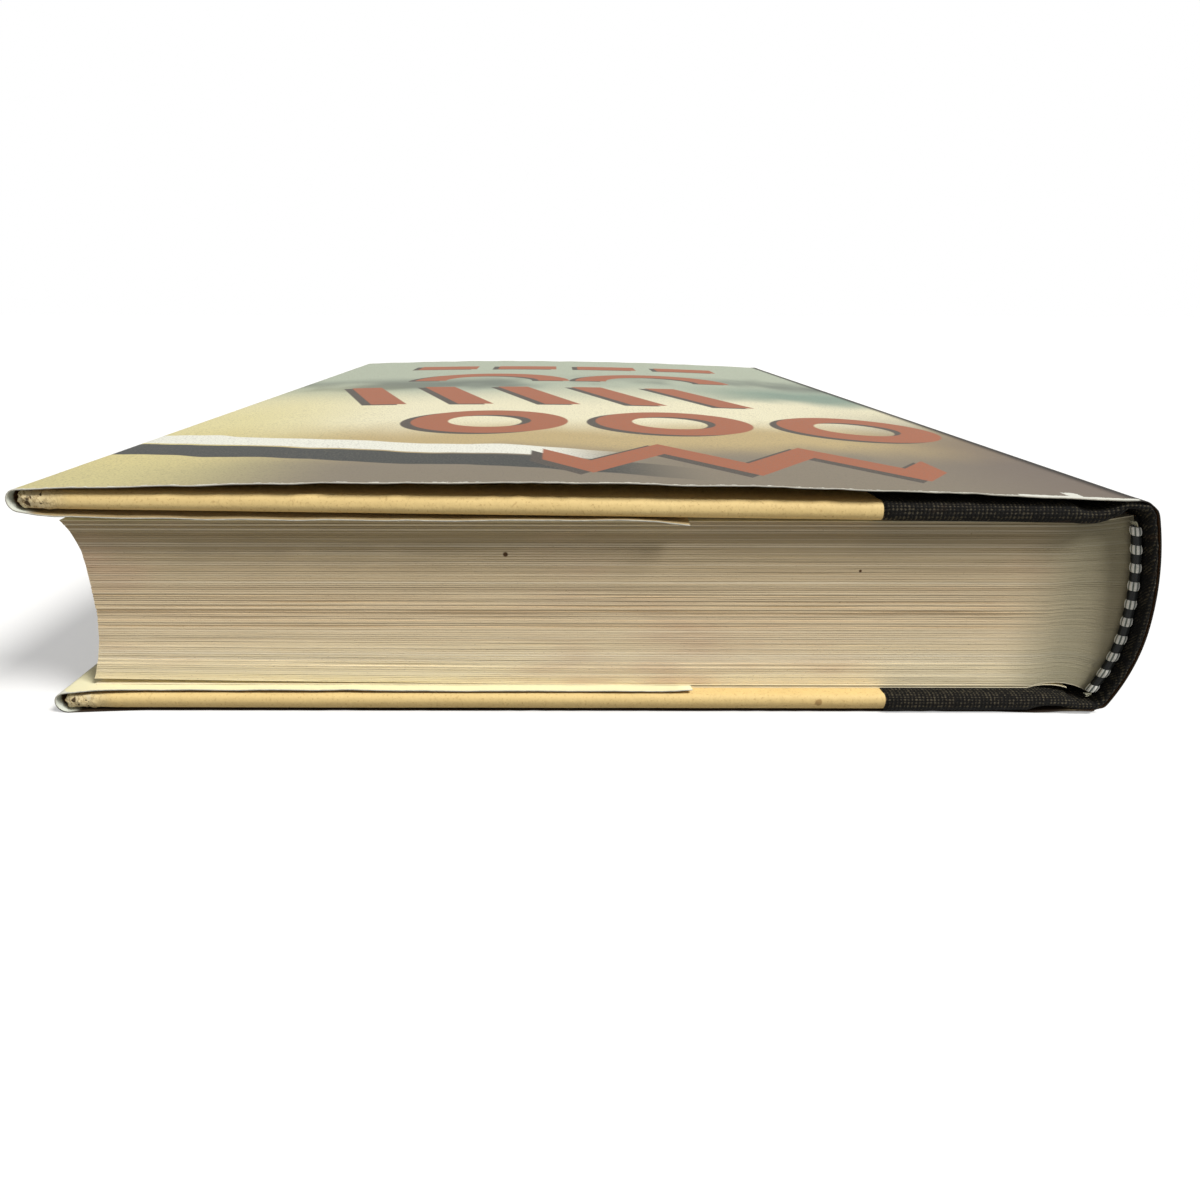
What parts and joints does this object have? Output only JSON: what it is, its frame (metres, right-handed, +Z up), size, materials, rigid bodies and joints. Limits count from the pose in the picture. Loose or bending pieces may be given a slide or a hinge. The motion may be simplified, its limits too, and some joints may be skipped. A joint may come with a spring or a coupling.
{
  "type": "hardback book",
  "caption": "Thick hardback book with a rounded spine, quarter cloth and paper case, striped head and tail bands and a paper dust jacket; both covers open on their joints.",
  "frame": {"origin": "on the table under the middle of the closed book", "axes": "+X from fore edge to spine, +Y from head to tail, +Z up from back cover to front cover"},
  "size_m": [0.1718, 0.241, 0.0376],
  "materials": {
    "pages": "matte",
    "endpaper": "matte",
    "side_paper": "matte",
    "book_cloth": "woven",
    "binders_board": "matte",
    "spine_card": "matte",
    "mull": "open weave",
    "lining_paper": "matte",
    "band_thread": "woven",
    "jacket_paper": "satin"
  },
  "bodies": {
    "book_block": {"text_block": "pages", "head_band": "band_thread", "tail_band": "band_thread", "spine_mull": "mull", "spine_lining": "lining_paper", "spine_inlay": "spine_card", "spine_cloth": "book_cloth", "jacket_spine": "jacket_paper", "front_flyleaf": "endpaper", "back_flyleaf": "endpaper"},
    "front_cover": {"front_board": "binders_board", "front_side_paper": "side_paper", "front_cloth": "book_cloth", "front_pastedown": "endpaper", "jacket_front": "jacket_paper"},
    "back_cover": {"back_board": "binders_board", "back_side_paper": "side_paper", "back_cloth": "book_cloth", "back_pastedown": "endpaper", "jacket_back": "jacket_paper"}
  },
  "joints": [
    {"name": "front_cover_hinge", "type": "hinge", "parent": "book_block", "child": "front_cover", "pos_m": [0.0777, 0, 0.0352], "axis": [0, 1, 0], "range_deg": [0, 180]},
    {"name": "back_cover_hinge", "type": "hinge", "parent": "book_block", "child": "back_cover", "pos_m": [0.0777, 0, 0.0002], "axis": [0, -1, 0], "range_deg": [0, 180]}
  ]
}
